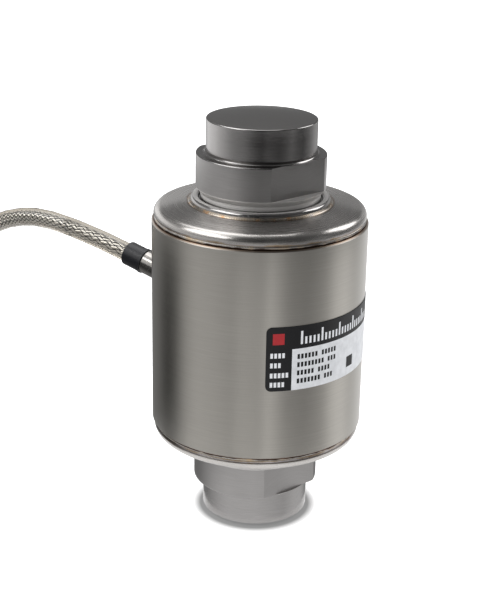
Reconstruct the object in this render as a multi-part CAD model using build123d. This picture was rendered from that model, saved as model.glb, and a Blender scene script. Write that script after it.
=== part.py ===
from build123d import *
import os
from math import atan, atan2, cos, degrees, pi, radians, sin, sqrt, tan

# Rocker column load cell, in millimetres. Z runs up the loading axis, the foot's lowest point is the
# origin, and -Y is the side with the rating label. Both ends of the cell are mirror images of each
# other, so heights are kept as distances from the end or from the middle.

# The column's ends
HEIGHT = 150.0              # from the foot's lowest point to the button's highest
BUTTON_R = 19.4             # loading button and foot
BUTTON_H = 13.3             # from the crown to the collar's end face
CROWN_R = 160.0             # radius of the crowned load faces: over half the height, so it rights itself
CROWN_EDGE = 0.4            # edge round at the crown
BUTTON_ROOT = 1.2           # fillet where the button rises from the collar
COLLAR_R = 22.9
COLLAR_H = 11.9
COLLAR_EDGE = 0.4
WRENCH_FLATS = 39.0         # across the two flats of each collar
WRENCH_LEDGE = 0.15         # full collar left behind the flats
WRENCH_AZIMUTH = -50.0      # direction that one flat faces, in degrees from +X
TAPER_H = 1.9               # slope from the collar in to the neck
TAPER_ROUND = 0.8

# The neck, its rounded bead and the flange that carries the diaphragm
NECK_R = 21.2
NECK_H = 2.7                # from the taper down to the groove's floor
GROOVE_W = 0.4              # groove between the neck and the bead
BEAD_W = 3.0                # half-round bead
BEAD_H = 1.25               # from the groove's floor to the bead's crest
BEAD_SINK = 0.7             # from the groove's floor down to the diaphragm's top
FLANGE_LIP = 1.8            # flange under the diaphragm, beyond the bead
FLANGE_T = 1.5
FLANGE_EDGE = 0.4

# The measuring section
SECTION_R = 20.8
SECTION_ROOT = 2.0          # fillet between the section and the flange
GAUGE_FLATS = 36.0          # across the four milled flats
GAUGE_FLAT_L = 60.0
CUTTER_R = 6.0              # run-out that the cutter leaves at each end of a flat

# The housing
TUBE_R = 38.3
TUBE_WALL = 2.0
TUBE_EDGE = 0.5             # chamfer beside the seam welds
COVER_T = 1.2               # the diaphragm's thickness
COVER_H = 5.3               # from the diaphragm's inner edge to the cover's rim
COVER_INSET = 0.7           # the cover's side lies inside the tube's
CONE_SLOPE = 0.149          # fall of the diaphragm for each millimetre outwards
SHOULDER_R = 2.8
BAND_INSET = 0.5            # band beside the seam, turned down from the cover's side
BAND_H = 0.9
SPIGOT_T = 1.95             # wall of the cover's spigot inside the tube
SPIGOT_L = 3.0
SPIGOT_ROOT = 0.9
SEAM_H = 1.2                # weld between the cover's band and the tube
SEAM_CROWN = 0.35
COVER_WELD = 0.95           # width of the weld between the diaphragm and the bead
COVER_WELD_H = 0.6
COVER_WELD_CREST = 0.36      # its height a third of the way in from the toe
FIT = 0.05                  # clearance of located and sliding fits

# The cable outlet, on an axis that rises out of the middle of the cell
OUTLET_AZIMUTH = 150.0
OUTLET_RISE = 14.6          # degrees above horizontal
OUTLET_Z = 74.5             # height at which its axis meets the column's
NIPPLE_R = 4.45
NIPPLE_OUT = 11.1           # from the tube's outside to the shoulder, along the outlet's axis
NIPPLE_IN = 3.0             # from the tube's bore to the inner end
NIPPLE_EDGE = 0.3
NIPPLE_TAIL = 3.5           # thinner end inside the sleeve
NIPPLE_BORE = 2.9
NIPPLE_WELD_W = 0.9
NIPPLE_WELD_H = 0.7
SLEEVE_R = 4.6
SLEEVE_L = 8.4
SLEEVE_LIP = 0.2
SLEEVE_LIP_L = 1.2
SLEEVE_END_ROUND = 0.7
GLASS_SETBACK = 1.5         # from the nipple's inner end to the glass
GLASS_T = 3.0
PIN_R = 0.3
PIN_CIRCLE_R = 1.7
PIN_COUNT = 6
PIN_IN = 3.0                # pins stand out of the glass on the inside and in the potting
PIN_OUT = 2.5

# The label, a thin film on the tube
LABEL_AZIMUTH = -86.0       # its left edge
LABEL_W = 60.0              # along the tube's curve
LABEL_BOTTOM = 62.9
LABEL_TOP = 86.2
LABEL_T = 0.2
LABEL_CORNER = 2.0

# Gauges, terminals and leads on the measuring section
GAUGE_W = 10.0
GAUGE_L = 18.0
GAUGE_T = 0.12
GRID_T = 0.06
GRID_LINE = 0.45
GRID_PITCH = 0.95
GRID_LINES = 5
GRID_L = 6.0
GRID_SPACING = 8.0          # between the two grids of a rosette
STRIP_W = 8.0
STRIP_L = 4.0
STRIP_T = 0.3
STRIP_GAP = 2.0             # from the rosette to its terminal strip
SOLDER_R = 0.7
SOLDER_H = 0.35
SOLDER_PITCH = 2.4
SOLDER_COUNT = 3
LEAD_R = 0.6
LEAD_BEND = 3.0
LEAD_DROP = 7.0             # straight run below the terminal strip
LEAD_SLANT = 7.0            # height of the slanting run out of the flat
LEAD_LIFT = 0.15            # lead held off the flat

# The circuit board, in two halves on the lower flange
SPACER_W = 2.8
SPACER_H = 2.0
BOARD_T = 1.6
BOARD_CLEAR = 0.7           # from the board to the column and to the cover's spigot
BOARD_GAP = 0.4             # between the two halves
BOARD_SPLIT_AZIMUTH = -5.0
JUMPER_W = 1.2
JUMPER_L = 4.0
JUMPER_T = 0.4
RESISTOR_L = 3.2
RESISTOR_W = 1.6
RESISTOR_H = 0.6
RESISTOR_STEP = 22.0        # degrees from one resistor to the next
RESISTORS_PER_HALF = 3
RESISTOR_FIRST = 18.0       # degrees from the split to the first one
WIRE_R = 0.4
WIRE_TURN = 4.0             # run from a pin to the middle wires' bend
WIRE_FAN = 0.8              # upper wires turn down further in
WIRE_BEND = 1.5

# The cable, wound for storage beside the cell
CABLE_R = 3.65
CABLE_STRAIGHT = 36.0       # straight out of the nipple
CABLE_CORNERS = (           # then up over the sleeve's height and down towards the coil
    (-99.5, 54.8, 95.5),
    (-120.5, 62.5, 79.5),
    (-138.0, 67.5, 60.0),
    (-155.5, 69.0, 46.2),
)
BEND_SHARE = 0.45           # share of the shorter run beside a corner that its arc takes up
LEAST_TURN = 10 * CABLE_R   # the cable bends no tighter than five diameters
COIL_X, COIL_Y = -205.3, -24.9
COIL_R = 63.0               # to the middle of its turns
COIL_ROWS = (4, 5, 6, 5, 4) # turns in each layer, from the bottom
COIL_JOIN = 110.0           # direction from the coil's middle at which the cable comes in
COIL_LEAD_IN = 36.6
COIL_SINK = 1.0             # the ends start this far inside the wound layers
COIL_ENTRY_RISE = 3.2       # the cable comes in from just above the top layer
COIL_APPROACH = 24.0        # straight run of the tube in line with the lead-in
TIE_W = 4.5
TIE_T = 0.9
TIE_CLEAR = 0.1
TIE_AZIMUTHS = (0.0, 130.0, 228.0)
TAIL_AZIMUTH = 250.0        # where the cable's far end leaves the bottom layer, inwards
TAIL_INSET = 15.05          # how much tighter than that layer it bends
TAIL_TURN = 84.0
TAIL_LIFT = 0.4             # its underside lies above that of the layers
END_SLEEVE_R = 4.0
END_SLEEVE_L = 16.0
END_OVERLAP = 6.0           # end sleeve on the jacket
CORE_R = 0.6
CORE_COUNT = 6
CORE_ROW = 0.7              # the leads leave the sleeve in two rows, this far above and below its axis
CORE_STEP = 0.9
CORE_INSET = 17.0           # they lie side by side this far inside the bottom layer
CORE_PITCH = 2.2
CORE_OUT = 3.0              # straight out of the sleeve
CORE_ANGLES = (18.0, 38.0, 58.0)
CORE_BEND = 5.0
FERRULE_R = 1.0
FERRULE_L = 8.0

# Left between two rounds that would otherwise meet, and within which two radii are the same
HAIR = 0.01

# Heights from the middle, worked down from the button's crown
HALF = HEIGHT / 2
COLLAR_TOP = HALF - BUTTON_H
COLLAR_BOTTOM = COLLAR_TOP - COLLAR_H
TAPER_BOTTOM = COLLAR_BOTTOM - TAPER_H
GROOVE_FLOOR = TAPER_BOTTOM - NECK_H
COVER_TOP = GROOVE_FLOOR - BEAD_SINK
SEAT = COVER_TOP - COVER_T
FLANGE_BOTTOM = SEAT - FLANGE_T
COVER_RIM = COVER_TOP - COVER_H
TUBE_END = COVER_RIM - SEAM_H
BEAD_INNER = NECK_R + GROOVE_W
BEAD_OUTER = BEAD_INNER + BEAD_W
FLANGE_R = BEAD_OUTER + FLANGE_LIP
TUBE_BORE = TUBE_R - TUBE_WALL
SPIGOT_BORE = TUBE_BORE - FIT - SPIGOT_T
BOARD_BOTTOM = SPACER_H - FLANGE_BOTTOM
BOARD_TOP = BOARD_BOTTOM + BOARD_T

# Places of the gauges and of the board, and the wound layers of the coil
GAUGE_AZIMUTHS = [WRENCH_AZIMUTH + 90 * quarter for quarter in range(4)]
FLAT_X = GAUGE_FLATS / 2
STRIP_TOP = -GAUGE_L / 2 - STRIP_GAP
STRIP_BOTTOM = STRIP_TOP - STRIP_L
BOARD_INNER = SECTION_R + BOARD_CLEAR
BOARD_OUTER = SPIGOT_BORE - BOARD_CLEAR
BOARD_MIDDLE = (BOARD_INNER + BOARD_OUTER) / 2
LAYER_LIFT = CABLE_R * sqrt(3)      # each turn lies in the hollow between two turns below it
COIL_LOW = TIE_T + TIE_CLEAR + CABLE_R
COIL_HIGH = COIL_LOW + (len(COIL_ROWS) - 1) * LAYER_LIFT
COIL_TOP_OUTER = COIL_R + (COIL_ROWS[-1] - 1) * CABLE_R - COIL_SINK
COIL_LOW_INNER = COIL_R - (COIL_ROWS[0] - 1) * CABLE_R + COIL_SINK
TAIL_R = COIL_LOW_INNER - TAIL_INSET
COIL = Pos(COIL_X, COIL_Y, 0)

# Places along the outlet's axis, from the column's axis
OUTLET = Plane(
    origin=(0, 0, OUTLET_Z),
    x_dir=Vector(0, 1, 0).rotate(Axis.Z, OUTLET_AZIMUTH),
    z_dir=Vector(1, 0, 0).rotate(Axis.Y, -OUTLET_RISE).rotate(Axis.Z, OUTLET_AZIMUTH),
)
NIPPLE_START = TUBE_BORE / cos(radians(OUTLET_RISE)) - NIPPLE_IN
NIPPLE_SHOULDER = TUBE_R / cos(radians(OUTLET_RISE)) + NIPPLE_OUT
NIPPLE_END = NIPPLE_SHOULDER + NIPPLE_TAIL
GLASS_START = NIPPLE_START + GLASS_SETBACK
GLASS_END = GLASS_START + GLASS_T
PIN_START = GLASS_START - PIN_IN
UPWARDS = (Align.CENTER, Align.CENTER, Align.MIN)


def outline(*corners):
    """A face in the XZ plane, from (radius, height, rounding) corners."""
    points = [(radius, height) for radius, height, rounding in corners]
    edge = FilletPolyline(*points, radius=[corner[2] for corner in corners], close=True)
    return Plane.XZ * make_face(edge)


def turned(*corners):
    """A piece turned about the Z axis."""
    return revolve(outline(*corners), Axis.Z)


def at_middle(piece):
    """Heights measured from the middle become heights above the foot."""
    return Pos(0, 0, HALF) * piece


def at_both_ends(piece):
    """The upper piece and its mirror image at the lower end."""
    return at_middle(piece), at_middle(mirror(piece, Plane.XY))


def ring_part(inner, outer, bottom, top):
    """A plain ring."""
    return turned((inner, bottom, 0), (outer, bottom, 0), (outer, top, 0), (inner, top, 0))


def rod(route, radius, bends):
    """A round wire along straight runs joined by tangent arcs."""
    path = FilletPolyline(*route, radius=bends)
    start = Plane(origin=path @ 0, z_dir=path % 0)
    return sweep(start * Circle(radius), path=path)


def bend_radii(points):
    """The largest arcs that the runs beside each corner of a route allow."""
    runs = [Vector(after) - Vector(before) for before, after in zip(points, points[1:])]
    radii = []
    for before, after in zip(runs, runs[1:]):
        reach = BEND_SHARE * min(before.length, after.length)
        radii.append(reach / tan(radians(before.get_angle(after) / 2)))
    return radii


# The column: one turned and milled piece
def column_outline():
    """The upper half's corners, from the axis down to the measuring section."""
    bead_round = min(BEAD_W / 2, BEAD_H) - HAIR
    return [
        (BUTTON_R, HALF, 0),
        (BUTTON_R, COLLAR_TOP, BUTTON_ROOT),
        (COLLAR_R, COLLAR_TOP, COLLAR_EDGE),
        (COLLAR_R, COLLAR_BOTTOM, TAPER_ROUND),
        (NECK_R, TAPER_BOTTOM, TAPER_ROUND),
        (NECK_R, GROOVE_FLOOR, 0),
        (BEAD_INNER, GROOVE_FLOOR, 0),
        (BEAD_INNER, GROOVE_FLOOR + BEAD_H, bead_round),
        (BEAD_OUTER, GROOVE_FLOOR + BEAD_H, bead_round),
        (BEAD_OUTER, SEAT, 0),
        (FLANGE_R, SEAT, 0),
        (FLANGE_R, FLANGE_BOTTOM, FLANGE_EDGE),
        (SECTION_R, FLANGE_BOTTOM, SECTION_ROOT),
    ]


def column_blank():
    """Both halves turned in one, with the crowned faces at the ends."""
    upper = column_outline()
    lower = [(radius, -height, rounding) for radius, height, rounding in reversed(upper)]
    blank = turned((0, HALF, 0), *upper, *lower, (0, -HALF, 0))
    crown_centre = HALF - CROWN_R
    blank = blank & Pos(0, 0, crown_centre) * Sphere(CROWN_R) & Pos(0, 0, -crown_centre) * Sphere(CROWN_R)
    circles = blank.edges().filter_by(GeomType.CIRCLE)
    rims = circles.filter_by(lambda edge: abs(edge.radius - BUTTON_R) < HAIR).sort_by(Axis.Z)
    return fillet([rims[0], rims[-1]], CROWN_EDGE)


def wrench_flat_cut(azimuth):
    """What the cutter takes off the upper collar for one flat."""
    depth = COLLAR_R
    height = COLLAR_H - WRENCH_LEDGE
    middle = (WRENCH_FLATS / 2 + depth / 2, 0, COLLAR_TOP - height / 2)
    return Rot(0, 0, azimuth) * Pos(*middle) * Box(depth, 3 * COLLAR_R, height)


def gauge_flat_cut(azimuth):
    """What the cutter takes off the measuring section for one flat."""
    depth = SECTION_R
    block = Pos(GAUGE_FLATS / 2 + depth / 2, 0, 0) * Box(depth, 3 * SECTION_R, GAUGE_FLAT_L)
    ends = block.edges().filter_by(Axis.Y).sort_by(Axis.X)[0:2]
    return Rot(0, 0, azimuth) * fillet(ends, CUTTER_R)


def rocker_column():
    blank = column_blank()
    for azimuth in (WRENCH_AZIMUTH, WRENCH_AZIMUTH + 180):
        flat = wrench_flat_cut(azimuth)
        blank = blank - flat - mirror(flat, Plane.XY)
    for azimuth in GAUGE_AZIMUTHS:
        blank = blank - gauge_flat_cut(azimuth)
    return at_middle(blank)


# The housing: a tube, two coned covers and the welds that close it
def cone_height(radius):
    """Height of the upper cover's coned top at a radius."""
    return COVER_TOP - CONE_SLOPE * (radius - BEAD_OUTER)


def upper_cover():
    side = TUBE_R - COVER_INSET
    band = side - BAND_INSET
    corner = cone_height(side)
    step = COVER_RIM + BAND_H
    half_turn = (pi / 2 - atan(CONE_SLOPE)) / 2
    shoulder = min(SHOULDER_R, (corner - step - HAIR) / tan(half_turn))
    inner_edge = BEAD_OUTER + FIT
    rabbet = FLANGE_R + 2 * FIT
    return turned(
        (inner_edge, cone_height(inner_edge), 0),
        (side, corner, shoulder),
        (side, step, 0),
        (band, step - BAND_INSET / 2, 0),
        (band, COVER_RIM, 0),
        (TUBE_BORE - FIT, COVER_RIM, 0),
        (TUBE_BORE - FIT, COVER_RIM - SPIGOT_L, 0),
        (SPIGOT_BORE, COVER_RIM - SPIGOT_L, 0),
        (SPIGOT_BORE, cone_height(SPIGOT_BORE) - COVER_T, SPIGOT_ROOT),
        (rabbet, cone_height(rabbet) - COVER_T, 0),
        (rabbet, SEAT, 0),
        (inner_edge, SEAT, 0),
    )


def upper_seam_weld():
    foot = TUBE_R - COVER_INSET - BAND_INSET
    crown = foot + SEAM_CROWN
    quarter = SEAM_H / 4
    return turned(
        (TUBE_BORE, TUBE_END, 0),
        (foot, TUBE_END, 0),
        (crown, TUBE_END + quarter, quarter),
        (crown, COVER_RIM - quarter, quarter),
        (foot, COVER_RIM, 0),
        (TUBE_BORE, COVER_RIM, 0),
    )


def upper_diaphragm_weld():
    """A bead in the corner between the column's rounded bead and the diaphragm."""
    toe = BEAD_OUTER + COVER_WELD
    return turned(
        (BEAD_OUTER, COVER_TOP, 0),
        (BEAD_OUTER + FIT, cone_height(BEAD_OUTER + FIT), 0),
        (toe, cone_height(toe), 0),
        (toe - COVER_WELD / 3, cone_height(toe) + COVER_WELD_CREST, COVER_WELD_H / 4),
        (BEAD_OUTER, COVER_TOP + COVER_WELD_H, 0),
    )


def housing_tube():
    tube = turned(
        (TUBE_BORE, -TUBE_END, 0),
        (TUBE_R - TUBE_EDGE, -TUBE_END, 0),
        (TUBE_R, -TUBE_END + TUBE_EDGE, 0),
        (TUBE_R, TUBE_END - TUBE_EDGE, 0),
        (TUBE_R - TUBE_EDGE, TUBE_END, 0),
        (TUBE_BORE, TUBE_END, 0),
    )
    hole = Cylinder(NIPPLE_R, NIPPLE_SHOULDER - NIPPLE_START, align=UPWARDS)
    return at_middle(tube) - on_outlet(Pos(0, 0, NIPPLE_START) * hole)


# The cable outlet
def on_outlet(piece):
    """Heights along the Z axis become distances along the outlet's axis."""
    return OUTLET.location * piece


def outlet_point(across, up, along):
    return OUTLET.from_local_coords(Vector(across, up, along))


def cable_nipple():
    return on_outlet(turned(
        (NIPPLE_BORE, NIPPLE_START, 0),
        (NIPPLE_R, NIPPLE_START, 0),
        (NIPPLE_R, NIPPLE_SHOULDER, NIPPLE_EDGE),
        (CABLE_R, NIPPLE_SHOULDER, 0),
        (CABLE_R, NIPPLE_END, 0),
        (NIPPLE_BORE, NIPPLE_END, 0),
    ))


def nipple_weld():
    """A low collar that follows the tube's curve round the nipple."""
    reach = NIPPLE_SHOULDER - NIPPLE_START
    disc = Cylinder(NIPPLE_R + NIPPLE_WELD_W, reach, align=UPWARDS) - Cylinder(NIPPLE_R, reach, align=UPWARDS)
    wall = Cylinder(TUBE_R + NIPPLE_WELD_H, HEIGHT, align=UPWARDS) - Cylinder(TUBE_R, HEIGHT, align=UPWARDS)
    return on_outlet(Pos(0, 0, NIPPLE_START) * disc) & wall


def cable_sleeve():
    end = NIPPLE_SHOULDER + SLEEVE_L
    bore = CABLE_R + FIT
    lip = SLEEVE_R + SLEEVE_LIP
    return on_outlet(turned(
        (bore, NIPPLE_SHOULDER, 0),
        (lip, NIPPLE_SHOULDER, SLEEVE_LIP),
        (lip, NIPPLE_SHOULDER + SLEEVE_LIP_L, SLEEVE_LIP / 2),
        (SLEEVE_R, NIPPLE_SHOULDER + SLEEVE_LIP_L, 0),
        (SLEEVE_R, end, SLEEVE_END_ROUND),
        (bore, end, 0),
    ))


def pin_places():
    """Where the pins stand round the outlet's axis, as (across, up)."""
    step = radians(360 / PIN_COUNT)
    return [(PIN_CIRCLE_R * cos(step * n), PIN_CIRCLE_R * sin(step * n)) for n in range(PIN_COUNT)]


def pins():
    length = PIN_IN + GLASS_T + PIN_OUT
    pin = Cylinder(PIN_R, length, align=UPWARDS)
    return [on_outlet(Pos(across, up, PIN_START) * pin) for across, up in pin_places()]


def bore_filling(start, end):
    """What fills the nipple's bore round the pins."""
    return on_outlet(ring_part(0, NIPPLE_BORE, start, end)) - pins()


# The rating label
def rating_label():
    span = degrees(LABEL_W / TUBE_R)
    film = outline(
        (TUBE_R, LABEL_BOTTOM, 0),
        (TUBE_R + LABEL_T, LABEL_BOTTOM, 0),
        (TUBE_R + LABEL_T, LABEL_TOP, 0),
        (TUBE_R, LABEL_TOP, 0),
    )
    film = Rot(0, 0, LABEL_AZIMUTH) * revolve(film, Axis.Z, revolution_arc=span)
    corners = film.edges().filter_by(lambda edge: edge.length < 2 * LABEL_T)
    return fillet(corners, LABEL_CORNER)


# Gauges, terminal strips and leads on one flat, which faces +X at azimuth 0 and is then turned to its place
def on_flat(piece, azimuth):
    return at_middle(Rot(0, 0, azimuth) * piece)


def plate(width, length, thickness, middle):
    """A flat piece bonded to the flat, width along Y and length along Z."""
    return Pos(FLAT_X + thickness / 2, 0, middle) * Box(thickness, width, length)


def strain_gauge():
    """Backing film with one grid along the column and one across it."""
    backing = plate(GAUGE_W, GAUGE_L, GAUGE_T, 0)
    lift = GAUGE_T + GRID_T
    rosette = backing
    for number in range(GRID_LINES):
        place = (number - (GRID_LINES - 1) / 2) * GRID_PITCH
        along = plate(GRID_LINE, GRID_L, lift, GRID_SPACING / 2)
        across = plate(GRID_L, GRID_LINE, lift, place - GRID_SPACING / 2)
        rosette = rosette + Pos(0, place, 0) * along + across
    return rosette


def terminal_strip():
    """Insulating strip with its solder domes."""
    middle = (STRIP_TOP + STRIP_BOTTOM) / 2
    strip = plate(STRIP_W, STRIP_L, STRIP_T, middle)
    dome = Cone(SOLDER_R, SOLDER_R / 2, SOLDER_H, align=UPWARDS)
    for number in range(SOLDER_COUNT):
        place = (number - (SOLDER_COUNT - 1) / 2) * SOLDER_PITCH
        strip = strip + Pos(FLAT_X + STRIP_T, place, middle) * Rot(0, 90, 0) * dome
    return strip


def gauge_lead():
    """From the foot of the terminal strip out of the flat and down to the board."""
    near = FLAT_X + LEAD_R + LEAD_LIFT
    far = SECTION_R + BOARD_CLEAR + 2 * LEAD_R
    route = [
        (near, 0, STRIP_BOTTOM),
        (near, 0, STRIP_BOTTOM - LEAD_DROP),
        (far, 0, STRIP_BOTTOM - LEAD_DROP - LEAD_SLANT),
        (far, 0, BOARD_TOP),
    ]
    return rod(route, LEAD_R, [LEAD_BEND, LEAD_BEND])


# The circuit board's two halves, their spacers, jumpers and resistors
def half_ring(inner, outer, bottom, top):
    """Half a ring on the +Y side, short of the split by half the gap."""
    ring = ring_part(inner, outer, bottom, top)
    keep = Pos(0, BOARD_GAP / 2 + outer, (bottom + top) / 2) * Box(4 * outer, 2 * outer, 2 * (top - bottom))
    return ring & keep


def on_board(piece, side):
    """The front half faces the label, the rear half the cable outlet."""
    turn = BOARD_SPLIT_AZIMUTH + (180 if side == "front" else 0)
    return at_middle(Rot(0, 0, turn) * piece)


def circuit_board(side):
    return on_board(half_ring(BOARD_INNER, BOARD_OUTER, BOARD_BOTTOM, BOARD_TOP), side)


def board_spacer(side):
    outer = FLANGE_R - FLANGE_EDGE / 2
    return on_board(half_ring(outer - SPACER_W, outer, -FLANGE_BOTTOM, BOARD_BOTTOM), side)


def board_jumpers():
    """A soldered strap over the gap at each end of the halves."""
    strap = Pos(BOARD_MIDDLE, 0, BOARD_TOP + JUMPER_T / 2) * Box(JUMPER_W, JUMPER_L, JUMPER_T)
    return [on_board(strap, side) for side in ("front", "rear")]


def trim_resistors():
    chip = Pos(BOARD_MIDDLE, 0, BOARD_TOP + RESISTOR_H / 2) * Box(RESISTOR_W, RESISTOR_L, RESISTOR_H)
    chips = []
    for side in ("front", "rear"):
        for number in range(RESISTORS_PER_HALF):
            place = RESISTOR_FIRST + number * RESISTOR_STEP
            chips.append(on_board(Rot(0, 0, place) * chip, side))
    return chips


def output_wire(across, up):
    """From a pin of the glass seal inwards, then straight down to the board."""
    turn = PIN_START - WIRE_TURN - WIRE_FAN * up
    bend = outlet_point(across, up, turn)
    foot = Vector(bend.X, bend.Y, HALF + BOARD_TOP)
    return rod([outlet_point(across, up, PIN_START), bend, foot], WIRE_R, [WIRE_BEND])


# The cable: a tube as far as the coil, and the coil as one closed solid
def coil_section(grow=0.0):
    """The outline of the wound layers, in the plane of radius and height, grown outwards."""
    layers = len(COIL_ROWS)
    middles = []
    for layer in (0, layers // 2, layers - 1):
        half_width = (COIL_ROWS[layer] - 1) * CABLE_R
        middles.append((half_width, COIL_LOW + layer * LAYER_LIFT))
    right = [(COIL_R + width, height) for width, height in middles]
    left = [(COIL_R - width, height) for width, height in reversed(middles)]
    core = make_face(Polyline(*right, *left, close=True))
    return Plane.XZ * offset(core, amount=CABLE_R + grow, kind=Kind.ARC)


def coil_point(radius, azimuth, height):
    """A point beside the coil, from its middle."""
    turn = radians(azimuth)
    return Vector(COIL_X + radius * cos(turn), COIL_Y + radius * sin(turn), height)


def coil_entry():
    """Where the tube ends and the coil begins: (point, direction)."""
    join = coil_point(COIL_TOP_OUTER, COIL_JOIN, COIL_HIGH - COIL_SINK)
    back = coil_point(COIL_TOP_OUTER, COIL_JOIN - 90, COIL_HIGH) - coil_point(0, 0, COIL_HIGH)
    start = join + back.normalized() * COIL_LEAD_IN + Vector(0, 0, COIL_ENTRY_RISE)
    return start, (join - start).normalized()


def tail_path():
    """The far end's bend inwards from the bottom layer."""
    centre = coil_point(COIL_LOW_INNER - TAIL_R, TAIL_AZIMUTH, COIL_LOW + TAIL_LIFT)
    return Pos(centre) * CenterArc((0, 0), TAIL_R, TAIL_AZIMUTH, TAIL_TURN)


def tail_end():
    path = tail_path()
    return Plane(origin=path @ 1, x_dir=(0, 0, 1), z_dir=path % 1)


def coil_tail():
    """The bend and the straight end that the end sleeve covers."""
    path = tail_path()
    bend = sweep(Plane(origin=path @ 0, z_dir=path % 0) * Circle(CABLE_R), path=path)
    return bend + tail_end().location * Cylinder(CABLE_R, END_OVERLAP, align=UPWARDS)


def cable_coil():
    ring = COIL * revolve(coil_section(), Axis.Z)
    start, direction = coil_entry()
    lead_in = Plane(origin=start, z_dir=direction).location * Cylinder(CABLE_R, COIL_LEAD_IN, align=UPWARDS)
    return ring + lead_in + coil_tail()


def coil_tie(azimuth):
    band = coil_section(TIE_CLEAR + TIE_T) - coil_section(TIE_CLEAR)
    loop = extrude(band, TIE_W / 2, both=True)
    return COIL * Rot(0, 0, azimuth) * loop


def cable_route():
    """The corners from the nipple's end to the coil: straight out, down, and in line with the coil."""
    start, direction = coil_entry()
    ends = [outlet_point(0, 0, NIPPLE_END + along) for along in (0, CABLE_STRAIGHT)]
    return ends + [Vector(corner) for corner in CABLE_CORNERS] + [start - direction * COIL_APPROACH, start]


def cable():
    """Prints its radii, and its volume over that of its section times its length."""
    route = cable_route()
    radii = bend_radii(route)
    print("radii", [round(radius, 1) for radius in radii], "least wanted", LEAST_TURN)
    path = FilletPolyline(*route, radius=radii)
    tube = rod(route, CABLE_R, radii)
    print("tube length", round(path.length, 1), "volume ratio", tube.volume / (path.length * pi * CABLE_R**2))
    return tube


# The far end: a sleeve over the jacket's end and six leads that lie inside the coil
def end_sleeve():
    body = Cylinder(END_SLEEVE_R, END_SLEEVE_L, align=UPWARDS)
    jacket = Cylinder(CABLE_R, END_OVERLAP, align=UPWARDS)
    return tail_end().location * (body - jacket)


def core_routes():
    """Each lead's corners: out of the sleeve in two rows, down to the floor and round inside the coil."""
    end = tail_end().offset(END_SLEEVE_L)
    begin = degrees(atan2(end.origin.Y - COIL_Y, end.origin.X - COIL_X))
    routes = []
    for number in range(CORE_COUNT):
        place = number - (CORE_COUNT - 1) / 2
        row = CORE_ROW * (-1) ** number
        lane = COIL_LOW_INNER - CORE_INSET + place * CORE_PITCH
        route = [end.from_local_coords(Vector(row, place * CORE_STEP, along)) for along in (0, CORE_OUT)]
        for angle in CORE_ANGLES:
            route.append(coil_point(lane, begin + angle, FERRULE_R))
        routes.append(route)
    return routes


def lead_wires():
    wires = []
    for route in core_routes():
        bends = [min(CORE_BEND, radius) for radius in bend_radii(route)]
        wires.append(rod(route, CORE_R, bends))
    return wires


def lead_ferrules():
    """Crimped tubes over the leads' ends."""
    ferrules = []
    for route in core_routes():
        end = Plane(origin=route[-1], z_dir=route[-2] - route[-1])
        tube = Cylinder(FERRULE_R, FERRULE_L, align=UPWARDS) - Cylinder(CORE_R, FERRULE_L, align=UPWARDS)
        ferrules.append(end.location * tube)
    return ferrules


# Every piece under the name of its node. A list is a group of like pieces that share a node.
def pieces():
    made = {"rocker_column": rocker_column(), "housing_tube": housing_tube()}
    for name, piece in (
        ("cover", upper_cover()),
        ("seam_weld", upper_seam_weld()),
        ("diaphragm_weld", upper_diaphragm_weld()),
    ):
        made["upper_" + name], made["lower_" + name] = at_both_ends(piece)
    made["cable_nipple"] = cable_nipple()
    made["nipple_weld"] = nipple_weld()
    made["cable_sleeve"] = cable_sleeve()
    made["glass_seal"] = bore_filling(GLASS_START, GLASS_END)
    made["nipple_potting"] = bore_filling(GLASS_END, NIPPLE_END)
    made["seal_pins"] = pins()
    made["rating_label"] = rating_label()
    for number, azimuth in enumerate(GAUGE_AZIMUTHS, 1):
        made[f"strain_gauge_{number}"] = on_flat(strain_gauge(), azimuth)
        made[f"terminal_strip_{number}"] = on_flat(terminal_strip(), azimuth)
        made[f"gauge_lead_{number}"] = on_flat(gauge_lead(), azimuth)
    for side in ("front", "rear"):
        made["circuit_board_" + side] = circuit_board(side)
        made["board_spacer_" + side] = board_spacer(side)
    made["board_jumpers"] = board_jumpers()
    made["trim_resistors"] = trim_resistors()
    for number, (across, up) in enumerate(pin_places(), 1):
        made[f"output_wire_{number}"] = output_wire(across, up)
    made["cable"] = cable()
    made["cable_coil"] = cable_coil()
    for number, azimuth in enumerate(TIE_AZIMUTHS, 1):
        made[f"coil_tie_{number}"] = coil_tie(azimuth)
    made["end_sleeve"] = end_sleeve()
    made["lead_wires"] = lead_wires()
    made["lead_ferrules"] = lead_ferrules()
    return made


def write(made):
    os.makedirs("parts", exist_ok=True)
    for name, piece in made.items():
        solids = piece if isinstance(piece, list) else [piece]
        group = Compound(children=[solid for shape in solids for solid in shape.solids()])
        export_step(group, f"parts/{name}.step")


write(pieces())
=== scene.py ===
# %% [markdown]
# # A rocker column load cell
# The cell is a thick stainless column with crowned ends, inside a thin welded housing. The CAD model
# already holds its shapes, so most of the work here is in the surfaces: turned, brushed, milled and
# welded steel look different only because of the fine marks that each tool leaves. The cable, its leads
# and the heads of its ties are the parts that need new meshes.

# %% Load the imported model
from math import cos, pi, radians, sin, sqrt
import bpy
from mathutils import Matrix, Vector


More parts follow.
